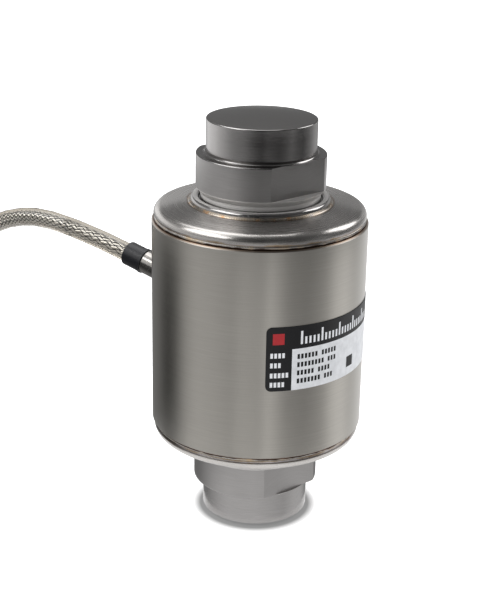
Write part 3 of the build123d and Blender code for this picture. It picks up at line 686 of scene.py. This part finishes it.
fields = [                  # left, right, bottom, top, colour and what breaks it up
    (-OVER, COLUMN_W, -OVER, LABEL_H + OVER, INK, None),
    (-OVER, LABEL_W + OVER, BAND_BOTTOM, LABEL_H + OVER, INK, None),
    (2.2, 6.2, 17.0, 21.0, RED, None),
    (TICK_START, 50.0, 16.6, 19.2, SILVER, "ticks"),
    (TICK_START, 50.0, 19.2, 21.4, SILVER, "long_ticks"),
    (33.0, 37.0, 3.0, 7.0, INK, None),
]
fields += [block_row(COLUMN_START, length, middle, SILVER) for middle, length in COLUMN_ROWS]
for middle, first, second in FIELD_ROWS:
    fields.append(block_row(ROW_START, first, middle, INK))
    fields.append(block_row(ROW_START + first + BLOCK_STEP, second, middle, INK))
print("fields on the label", len(fields))

# %% Printed film
LABEL_LEFT = radians(-86)
LABEL_BOTTOM = 62.9
TUBE_R = 38.3
MOTTLE_SCALE = 0.4          # per mm: the silver is uneven over two or three millimetres
FILM_GLOSS = (0.46, 0.54)

film, tree, shader = new_material("printed_label_film", ior=1.5, Specular_IOR_Level=0.25)
places = axis_places(tree)
along = add(tree, "Math", {0: way_round(tree, places), 1: TUBE_R, 2: -LABEL_LEFT * TUBE_R},
            operation="MULTIPLY_ADD")
height = add(tree, "Math", {0: places["height"], 1: -LABEL_BOTTOM}, operation="ADD")
mottle = add(tree, "TexNoise", {"Vector": places["at"], "Scale": MOTTLE_SCALE, "Detail": 3.0})
tone = add(tree, "ValToRGB", {"Fac": mottle}, ramp=two_tones("#D3D5D9", SILVER))
patterns = {
    "blocks": stripes(tree, along, BLOCK_STEP, BLOCK_W, COLUMN_START),
    "ticks": stripes(tree, along, TICK_STEP, TICK_W, TICK_START),
    "long_ticks": stripes(tree, along, LONG_STEP, TICK_W, TICK_START),
}
for left, right, bottom, top, code, pattern in fields:
    inside = field(tree, along, height, left, right, bottom, top)
    if pattern:
        inside = add(tree, "Math", {0: inside, 1: patterns[pattern]}, operation="MULTIPLY")
    tone = add(tree, "MixRGB", {"Fac": inside, "Color1": tone, "Color2": colour(code)})
feed(shader, {
    "Base Color": tone,
    "Roughness": add(tree, "MapRange", {"Value": mottle, **span(*NOISE, *FILM_GLOSS)}),
})
dress(film, "rating_label")

# %% [markdown]
# ## The jacket and the screen
# The jacket is clear soft plastic: it lets light through, bends it and tints it slightly. The screen is
# woven from bundles of tinned wire that wind both ways round the cable and pass over and under each
# other. On the curve's own UV map, u runs along the cable and v round it, so the weave is two sets of
# slanted waves, and a checker says which one is on top.

# %% Clear jacket
HAZE_SCALE = 0.5            # per mm
JACKET_GLOSS = (0.08, 0.16)

jacket, tree, shader = new_material("clear_soft_jacket", ior=1.42, Transmission_Weight=1.0)
haze = add(tree, "TexNoise", {"Vector": in_mm(tree), "Scale": HAZE_SCALE, "Detail": 2.0})
feed(shader, {
    "Base Color": add(tree, "ValToRGB", {"Fac": haze}, ramp=two_tones("#D5CCBD", "#DED6C8")),
    "Roughness": add(tree, "MapRange", {"Value": haze, **span(*NOISE, *JACKET_GLOSS)}),
})
dress(jacket, "cable_jacket")

# %% Bundles that wind both ways
BUNDLES = 8                 # bundles of wire that wind each way
LAY = 14.4                  # mm of cable for one whole turn of a bundle


def slanted(tree, along, around, way):
    """A count of bundles across a slanted set, which winds one way or the other."""
    turns = add(tree, "Math", {0: along, 1: way * BUNDLES / LAY}, operation="MULTIPLY")
    return add(tree, "Math", {0: around, 1: BUNDLES, 2: turns}, operation="MULTIPLY_ADD")


def ridge(tree, count):
    """A rounded ridge over each whole step of the count."""
    wave = add(tree, "Math", {0: count, 1: pi}, operation="MULTIPLY")
    wave = add(tree, "Math", {0: wave}, operation="SINE")
    return add(tree, "Math", {0: wave}, operation="ABSOLUTE")


print("a bundle crosses the next one every", round(LAY / BUNDLES / 2, 2), "mm")

# %% Woven screen
WIRE_DEPTH = 0.3            # mm from the top of a bundle to the gap beside it
WIRE_GLOSS = 0.28

woven, tree, shader = new_material("tinned_wire_screen", metallic=1.0, roughness=WIRE_GLOSS)
uv = add(tree, "SeparateXYZ", {0: add(tree, "TexCoord").outputs["UV"]})
cable_mm = cable.data.splines[0].calc_length() / MM
along = add(tree, "Math", {0: uv.outputs["X"], 1: cable_mm}, operation="MULTIPLY")
sets = [slanted(tree, along, uv.outputs["Y"], way) for way in (1, -1)]
ridges = [ridge(tree, count) for count in sets]
whole = [add(tree, "Math", {0: count}, operation="FLOOR") for count in sets]
checker = add(tree, "Math", {0: whole[0], 1: whole[1]}, operation="ADD")
checker = add(tree, "Math", {0: checker, 1: 2.0}, operation="FLOORED_MODULO")
weave = add(tree, "MixRGB", {"Fac": checker, "Color1": ridges[0], "Color2": ridges[1]})
feed(shader, {
    # painted shade: the colour goes dark in the gaps between the bundles and bright on their crowns
    "Base Color": add(tree, "ValToRGB", {"Fac": weave}, ramp=two_tones("#14181C", "#E6E8EB")),
    "Normal": add(tree, "Bump", {"Height": weave, "Distance": WIRE_DEPTH * MM}),
})
dress(woven, "cable_screen")

# %% [markdown]
# ## The leads
# Six thin wires carry the supply and the signal, and each has its own colour so that they can't be mixed
# up. The CAD model holds them as one plain group. Here each is a smooth curve of its own on the same
# corners: out of the end sleeve in two rows, down to the floor and side by side round the inside of the coil.

# %% Six leads from the end sleeve
LEAD_R = 0.6 * MM
LEAD_COUNT = 6
LEAD_ROUND = 2              # steps of the bevel, few because a lead is so thin
LEAD_ALONG = 8
SLEEVE_BEYOND = 10 * MM     # the end sleeve runs this far past the jacket's end
LEAD_ROW = 0.7 * MM         # half the distance between the two rows
LEAD_STEP = 0.9 * MM        # from lead to lead in the sleeve
LEAD_OUT = 3 * MM
LANE_INSET = 17 * MM
LANE_STEP = 2.2 * MM        # from lead to lead on the floor
LANE_HEIGHT = 1 * MM
LANE_ANGLES = (18, 38, 58)  # degrees round the coil's middle, from the sleeve's end

sleeve_end = tail_end + tail_direction * SLEEVE_BEYOND
sleeve_azimuth = (sleeve_end - COIL_MIDDLE).xy.angle_signed(Vector((1, 0)))
sideways = Vector((tail_direction.y, -tail_direction.x, 0))
for number in range(LEAD_COUNT):
    place = number - (LEAD_COUNT - 1) / 2
    start = sleeve_end + sideways * place * LEAD_STEP + Vector((0, 0, LEAD_ROW * (-1) ** number))
    lane = inner_radius - LANE_INSET + place * LANE_STEP
    points = [start, start + tail_direction * LEAD_OUT]
    points += [coil_point(lane, sleeve_azimuth + radians(turned), LANE_HEIGHT) for turned in LANE_ANGLES]
    lead = nurbs_tube(f"lead_wire_{number + 1}", points, LEAD_R, LEAD_ROUND, LEAD_ALONG)
    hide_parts("lead_wires")

# %% [markdown]
# ## The ties' heads
# A nylon tie locks in a small square head, and its spare strap is cut off short. The CAD model has the
# straps round the coil. A head starts as a box on the strap's outer face, and its upper face is
# drawn in and pulled out twice: once for the rim round the slot and once for the stub of the strap. It is
# modelled once and copied to the three ties, each copy turned in its own mesh.

# %% One head, modelled in edit mode
TIE_OUTSIDE = 85.9 * MM     # the strap's outer face, from the coil's middle
HEAD_SIZE = Vector((4.4, 6.6, 7.0)) * MM        # out from the strap, across it and upwards
HEAD_SEAT = 0.4 * MM        # how far its back reaches in, because the strap curves away behind it
WIDEST_LAYER = 2
RIM = (0.7 * MM, 0.8 * MM)  # how far the rim round the slot is drawn in and how far it is pulled up
STUB = (0.8 * MM, 2.5 * MM)         # the same for the cut strap
EDGE_W = 0.35 * MM
EDGE_STEPS = 2
SMOOTH_BELOW = radians(40)


def pull_top(piece, inset, height):
    """Draws in the highest face of a piece by the inset and pulls it up by the height."""
    bpy.ops.object.mode_set(mode="EDIT")
    bpy.ops.mesh.select_mode(type="FACE")
    bpy.ops.mesh.select_all(action="DESELECT")
    bpy.ops.object.mode_set(mode="OBJECT")
    max(piece.data.polygons, key=lambda face: face.center.z).select = True
    bpy.ops.object.mode_set(mode="EDIT")
    bpy.ops.mesh.inset(thickness=inset)
    bpy.ops.mesh.extrude_region_move(TRANSFORM_OT_translate={"value": (0, 0, height)})
    bpy.ops.object.mode_set(mode="OBJECT")


head_place = coil_point(TIE_OUTSIDE - HEAD_SEAT + HEAD_SIZE.x / 2, 0, LOWEST + WIDEST_LAYER * ROW_HEIGHT)
bpy.ops.object.select_all(action="DESELECT")
bpy.ops.mesh.primitive_cube_add(size=1, location=head_place, scale=HEAD_SIZE)
bpy.ops.object.transform_apply(location=True, rotation=True, scale=True)
head = bpy.context.object
pull_top(head, *RIM)
pull_top(head, *STUB)
bevel = head.modifiers.new("rounded_edges", "BEVEL")
bevel.width = EDGE_W
bevel.segments = EDGE_STEPS
bpy.ops.object.modifier_apply(modifier=bevel.name)
bpy.ops.object.shade_smooth_by_angle(angle=SMOOTH_BELOW)
print("head corners", len(head.data.vertices))

# %% The same head on each tie
TIE_AZIMUTHS = (0, 130, 228)
heads = []
for number, azimuth in enumerate(TIE_AZIMUTHS, 1):
    copy = bpy.data.objects.new(f"tie_head_{number}", head.data.copy())
    bpy.context.scene.collection.objects.link(copy)
    turn = Matrix.Rotation(radians(azimuth), 4, "Z")
    copy.data.transform(Matrix.Translation(COIL_MIDDLE) @ turn @ Matrix.Translation(-COIL_MIDDLE))
    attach(copy, "root")
    heads.append(copy)
bpy.data.objects.remove(head)
print("heads", [piece.name for piece in heads])

# %% [markdown]
# ## What is inside
# Nothing inside can be seen while the cell is whole, but a part library may show it cut open, so every
# piece in there gets its own finish too. They are all the same recipe with other values: a base colour that
# a noise shifts by a few percent, at the scale of the material's own grain.

# %% One recipe for the plain finishes
GLOSS_SHIFT = 0.05          # how far the grain moves the roughness, up and down
GRAIN_DEPTH = 0.005         # mm


def grained(name, dark, light, size, roughness, metallic=0.0, **constants):
    """A finish whose colour and gloss follow a noise with grains of a size in mm."""
    material, tree, shader = new_material(name, metallic=metallic, **constants)
    grain = add(tree, "TexNoise", {"Vector": in_mm(tree), "Scale": 1 / size, "Detail": 3.0})
    feed(shader, {
        "Base Color": add(tree, "ValToRGB", {"Fac": grain}, ramp=two_tones(dark, light)),
        **marked(tree, grain, (roughness - GLOSS_SHIFT, roughness + GLOSS_SHIFT), GRAIN_DEPTH),
    })
    return material


def four(name):
    """The names of the pieces on the four flats of the measuring section."""
    return [f"{name}_{number}" for number in (1, 2, 3, 4)]


def two(name):
    """The names of the pieces on both halves of the board."""
    return [f"{name}_{side}" for side in ("front", "rear")]


print("gauges", four("strain_gauge"))

# %% The outlet's inside: fused glass, cast resin and gold
# The glass is hard and mirror smooth, the resin dull black, and the pins shine warm
dress(grained("green_seal_glass", "#2E5B4C", "#3D6E5C", 0.5, 0.1, ior=1.52), "glass_seal")
dress(grained("black_epoxy", "#141414", "#222222", 0.8, 0.4, ior=1.55), "nipple_potting")
dress(grained("gold_plated_pins", "#C9A24A", "#DDBB66", 0.4, 0.2, metallic=1.0), "seal_pins")

# %% The measuring section: polyimide, copper and enamel
# The film is a deep amber with a soft shine, the copper pinkish and matt, the enamel a clear red
amber = grained("amber_polyimide_film", "#B26A1E", "#C77F2C", 1.5, 0.35, ior=1.6)
copper = grained("copper_on_glass_strip", "#B87A55", "#CB9068", 0.6, 0.3, metallic=1.0)
enamel = grained("red_enamelled_wire", "#9E2A22", "#B23A30", 1.2, 0.4, ior=1.5)
dress(amber, *four("strain_gauge"))
dress(copper, *four("terminal_strip"))
dress(enamel, *four("gauge_lead"))

# %% The board: laminate, nylon, ceramic and tin
# The laminate is green under a satin resist, the nylon milky, the ceramic dark and the tin a soft silver
laminate = grained("green_board_laminate", "#1E5A34", "#2A6E42", 1.0, 0.4, ior=1.55)
milky = grained("white_nylon", "#D9D6CC", "#E6E3DA", 2.0, 0.45, ior=1.53)
ceramic = grained("trim_resistor_ceramic", "#20242C", "#2E333D", 0.5, 0.4, ior=1.7)
tin = grained("tinned_copper", "#B9BBBB", "#CDCFCF", 0.8, 0.3, metallic=1.0)
dress(laminate, *two("circuit_board"))
dress(milky, *two("board_spacer"))
dress(ceramic, "trim_resistors")
dress(tin, "board_jumpers", "lead_ferrules")

# %% Black nylon ties, with their heads
# Moulded nylon is black with a satin face, and its edges catch the light
tie_nylon = grained("black_nylon_tie", "#161617", "#232325", 0.8, 0.4, ior=1.53)
dress(tie_nylon, "coil_tie_1", "coil_tie_2", "coil_tie_3", *[piece.name for piece in heads])

# %% Wires in six colours
# Soft PVC takes strong colours and has a waxy shine
WIRE_COLOURS = (
    ("red", "#A82C24", "#BC3B31"),
    ("black", "#1B1B1D", "#2A2A2C"),
    ("green", "#1F6B3A", "#2B7E48"),
    ("white", "#DDDAD2", "#EBE8E1"),
    ("blue", "#234F94", "#2F60A8"),
    ("yellow", "#D9B32C", "#E6C23F"),
)
for number, (name, dark, light) in enumerate(WIRE_COLOURS, 1):
    insulation = grained(name + "_pvc_insulation", dark, light, 1.2, 0.4, ior=1.53)
    dress(insulation, f"lead_wire_{number}", f"output_wire_{number}")
dress(insulation, "lead_wires")

# %% [markdown]
# ## The floor
# The background is white because the floor is: it adds a glow of its own for the camera and for
# reflections, and still takes the lamps' shadows, so that the cell stands on something. What is seen
# through the clear jacket gets a grey floor with little glow, or the cable's edges would vanish into the
# white.

# %% A pale floor that glows for the camera
FLOOR_SIZE = 8.0
FLOOR_NEAR, FLOOR_FAR = 0.15, 0.6       # m from the axis between which the glow rises to 1
FLOOR_GLOW = 0.6            # near the cell, where more lamplight falls
JACKET_GLOW = 0.12          # share of the glow that is seen through the jacket

bpy.ops.object.select_all(action="DESELECT")
bpy.ops.mesh.primitive_plane_add(size=FLOOR_SIZE, location=(0, 0, 0))
floor = bpy.context.object
floor.name = "floor"
pale, tree, shader = new_material("pale_floor", roughness=0.7)
path = add(tree, "LightPath").outputs
seen = add(tree, "Math", {0: path["Is Camera Ray"], 1: path["Is Glossy Ray"]}, operation="MAXIMUM")
through = add(tree, "Math", {0: path["Is Transmission Ray"], 1: JACKET_GLOW}, operation="MULTIPLY")
seen = add(tree, "Math", {0: seen, 1: through}, operation="MAXIMUM")
place = add(tree, "TexCoord").outputs["Object"]
away = add(tree, "VectorMath", {0: place}, operation="LENGTH").outputs["Value"]
level = add(tree, "MapRange", {"Value": away, **span(FLOOR_NEAR, FLOOR_FAR, FLOOR_GLOW, 1.0)})
print("floor", FLOOR_SIZE, "m wide")

# %% The painted shadow under the foot's rim, and the floor's colour
FOOT_SHADE = 0.3            # painted shadow right at the foot, under its rim
SHADE_REACH = (20.4 * MM, 23.4 * MM)    # from the axis, over which that shade ends
JACKET_FLOOR = 0.08         # the grey card that the floor is for what is seen through the jacket

# a painted shadow: close round the foot the floor is darker and glows less, for the camera only
close = add(tree, "MapRange", {"Value": away, **span(*SHADE_REACH, 1.0, 0.0)})
close = add(tree, "Math", {0: close, 1: path["Is Camera Ray"]}, operation="MULTIPLY")
open_floor = add(tree, "MapRange", {"Value": close, **span(0.0, 1.0, 1.0, FOOT_SHADE)})
level = add(tree, "Math", {0: level, 1: open_floor}, operation="MULTIPLY")
shade = add(tree, "MixRGB", {"Fac": close, "Color1": colour("#E8E8E8"), "Color2": grey(FOOT_SHADE / 2)})
card = path["Is Transmission Ray"]
feed(shader, {
    "Base Color": add(tree, "MixRGB", {"Fac": card, "Color1": shade, "Color2": grey(JACKET_FLOOR)}),
})
strength = add(tree, "Math", {0: seen, 1: level}, operation="MULTIPLY")
glow = add(tree, "Emission", {"Color": grey(1.0), "Strength": strength})
both = add(tree, "AddShader", {0: shader, 1: glow})
feed(tree.nodes["Material Output"], {"Surface": both})
dress(pale, "floor")

# %% [markdown]
# ## The studio that the metal sees
# Metal has no colour of its own to speak of: it shows the room. A photographer stands grey and black
# cards round a shiny piece to give it dark edges and bright bands. Here they are rings of cards, whose
# grey changes with the direction: two low skirts round the foot and its collar, and a tall ring in three
# bands for the tube, the upper collar and the button. Only reflections see them: they throw no light and
# no shadow.

# %% The cards' levels
# Directions in degrees from the camera's side, positive to the right, with the card's level there
SKIRT = [
    (-180, 0.3), (-115, 0.25), (-85, 0.38), (-65, 0.75), (-50, 1.0), (-35, 1.15), (0, 1.15),
    (20, 1.0), (40, 0.85), (60, 1.05), (77, 0.95), (100, 0.35), (130, 0.3), (180, 0.3),
]
LOW_CARDS = [
    (-180, 0.6), (-153, 0.25), (-130, 0.28), (-108, 0.27), (-92, 0.06), (-82, 0.1), (-76, 0.25),
    (-65, 0.75), (-55, 0.95), (-37.5, 0.85), (-21, 0.75), (-13.5, 0.95), (3, 0.85), (9.3, 1.25),
    (17, 0.9), (24.7, 0.6), (41, 0.5), (50, 0.6), (59.6, 0.75), (70.3, 1.35), (82.4, 1.55),
    (97.4, 1.05), (119.4, 1.2), (180, 1.0),
]
COLLAR_CARDS = [
    (-180, 0.5), (-137, 0.45), (-108, 0.55), (-90, 0.8), (-76, 1.0), (-65, 0.95), (-42, 0.75),
    (-22, 0.78), (-3, 0.66), (5, 0.55), (15.6, 0.62), (30, 0.4), (55, 0.2), (85, 0.2), (110, 0.5),
    (150, 1.2), (180, 1.0),
]
HIGH_CARDS = [
    (-180, 0.5), (-150, 0.6), (-127.6, 1.48), (-102, 1.5), (-84, 1.09), (-69.4, 0.77), (-56, 0.49),
    (-43.9, 0.39), (-32.3, 0.33), (-21.3, 0.19), (-10.6, 0.08), (0, 0.03), (10.6, 0.11),
    (21.3, 0.09), (32.3, 0.077), (43.9, 0.14), (56, 0.26), (69.4, 0.15), (84, 0.1), (102, 0.3),
    (127.6, 0.6), (150, 0.35), (180, 0.5),
]


def by_direction(tree, vector, levels):
    """A grey that depends on the level direction of a vector, in degrees from the camera's side."""
    parts = add(tree, "SeparateXYZ", {0: vector})
    ahead = add(tree, "Math", {0: parts.outputs["Y"], 1: -1.0}, operation="MULTIPLY")
    around = add(tree, "Math", {0: parts.outputs["X"], 1: ahead}, operation="ARCTAN2")
    share = add(tree, "MapRange", {"Value": around, **span(-pi, pi)})
    ramp = [((turn + 180) / 360, grey(level)) for turn, level in levels]
    return add(tree, "ValToRGB", {"Fac": share}, ramp=ramp)


print("levels", [len(levels) for levels in (SKIRT, LOW_CARDS, COLLAR_CARDS, HIGH_CARDS)])

# %% Rings of cards
RING_SIDES = 96


def ring_of_cards(name, radius, *bands):
    """A ring round the cell, of bands up to heights in mm with their levels, which only reflections see."""
    top = bands[-1][0] * MM
    bpy.ops.object.select_all(action="DESELECT")
    bpy.ops.mesh.primitive_cylinder_add(vertices=RING_SIDES, radius=radius * MM, depth=top,
                                        location=(0, 0, top / 2), end_fill_type="NOTHING")
    bpy.ops.object.transform_apply(location=True)
    ring = bpy.context.object
    ring.name = name
    ring.visible_camera = False
    ring.visible_diffuse = False
    ring.visible_transmission = False
    ring.visible_shadow = False
    paper = bpy.data.materials.new(name)
    paper.use_nodes = True
    tree = paper.node_tree
    place = add(tree, "TexCoord").outputs["Object"]
    height = add(tree, "SeparateXYZ", {0: place}).outputs["Z"]
    tone = by_direction(tree, place, bands[0][1])
    for (edge, _), (_, levels) in zip(bands, bands[1:]):
        higher = add(tree, "Math", {0: height, 1: edge * MM}, operation="GREATER_THAN")
        band = by_direction(tree, place, levels)
        tone = add(tree, "MixRGB", {"Fac": higher, "Color1": tone, "Color2": band})
    feed(tree.nodes["Material Output"], {"Surface": add(tree, "Emission", {"Color": tone})})
    dress(paper, name)


ring_of_cards("foot_skirt", 24, (12.5, SKIRT))
ring_of_cards("collar_skirt", 32, (30, SKIRT))
ring_of_cards("tall_cards", 85, (100, LOW_CARDS), (112, COLLAR_CARDS), (142, HIGH_CARDS))

# %% [markdown]
# ## The lamps
# Four soft boxes stand round the cell: left, right, behind and in front. The room is dim above them, so
# that the rounded edges and the covers' tops stay dark between the boxes' reflections.

# %% The room's walls and ceiling
WALLS = [
    (-180, 0.21), (-150, 0.3), (-110, 0.45), (-80, 0.5), (-60, 0.3), (-35, 0.12), (0, 0.04),
    (40, 0.08), (70, 0.12), (95, 0.15), (120, 0.3), (150, 0.2), (180, 0.21),
]
CEILING = [
    (-180, 0.2), (-165, 0.9), (-130, 1.3), (-80, 1.3), (-50, 0.4), (-30, 0.12), (70, 0.12),
    (100, 0.25), (180, 0.2),
]
CEILING_RISE = [sin(radians(rise)) for rise in (40, 56)]    # where the walls turn into the ceiling
PLAIN_LIGHT = 0.7           # what dull surfaces get from all round

world = bpy.data.worlds.new("studio")
world.use_nodes = True
tree = world.node_tree
direction = add(tree, "TexCoord").outputs["Generated"]
climb = add(tree, "SeparateXYZ", {0: direction}).outputs["Z"]
overhead = add(tree, "MapRange", {"Value": climb, **span(*CEILING_RISE)})
walls = by_direction(tree, direction, WALLS)
above = by_direction(tree, direction, CEILING)
room = add(tree, "MixRGB", {"Fac": overhead, "Color1": walls, "Color2": above})
path = add(tree, "LightPath").outputs
room = add(tree, "MixRGB", {"Fac": path["Is Diffuse Ray"], "Color1": room, "Color2": grey(PLAIN_LIGHT)})
room = add(tree, "MixRGB", {"Fac": path["Is Camera Ray"], "Color1": room, "Color2": grey(1.0)})
feed(tree.nodes["Background"], {"Color": room})
bpy.context.scene.world = world
print("room of", len(WALLS), "wall levels and", len(CEILING), "on the ceiling")

# %% Soft boxes
BOX_DISTANCE = 0.8
BOXES = (                   # azimuth from the camera's side and rise in degrees, size in m and level
    ("left_box", -80, 45, 0.4, 4.0),
    ("right_box", 120, 38, 0.4, 4.0),
    ("back_box", -165, 62, 0.5, 2.5),
    ("front_box", -50, 42, 0.3, 4.0),
)
for name, azimuth, rise, size, level in BOXES:
    turn, up = radians(azimuth), radians(rise)
    away = Vector((sin(turn) * cos(up), -cos(turn) * cos(up), sin(up)))
    data = bpy.data.lights.new(name, "AREA")
    data.size = size
    data.energy = level * pi * size**2
    lamp = bpy.data.objects.new(name, data)
    lamp.location = AIM + away * BOX_DISTANCE
    lamp.rotation_euler = (-away).to_track_quat("-Z", "Y").to_euler()
    lamp.visible_camera = False
    bpy.context.scene.collection.objects.link(lamp)
    print(name, round(data.energy, 2), "W")
bpy.context.scene.view_settings.view_transform = "Standard"
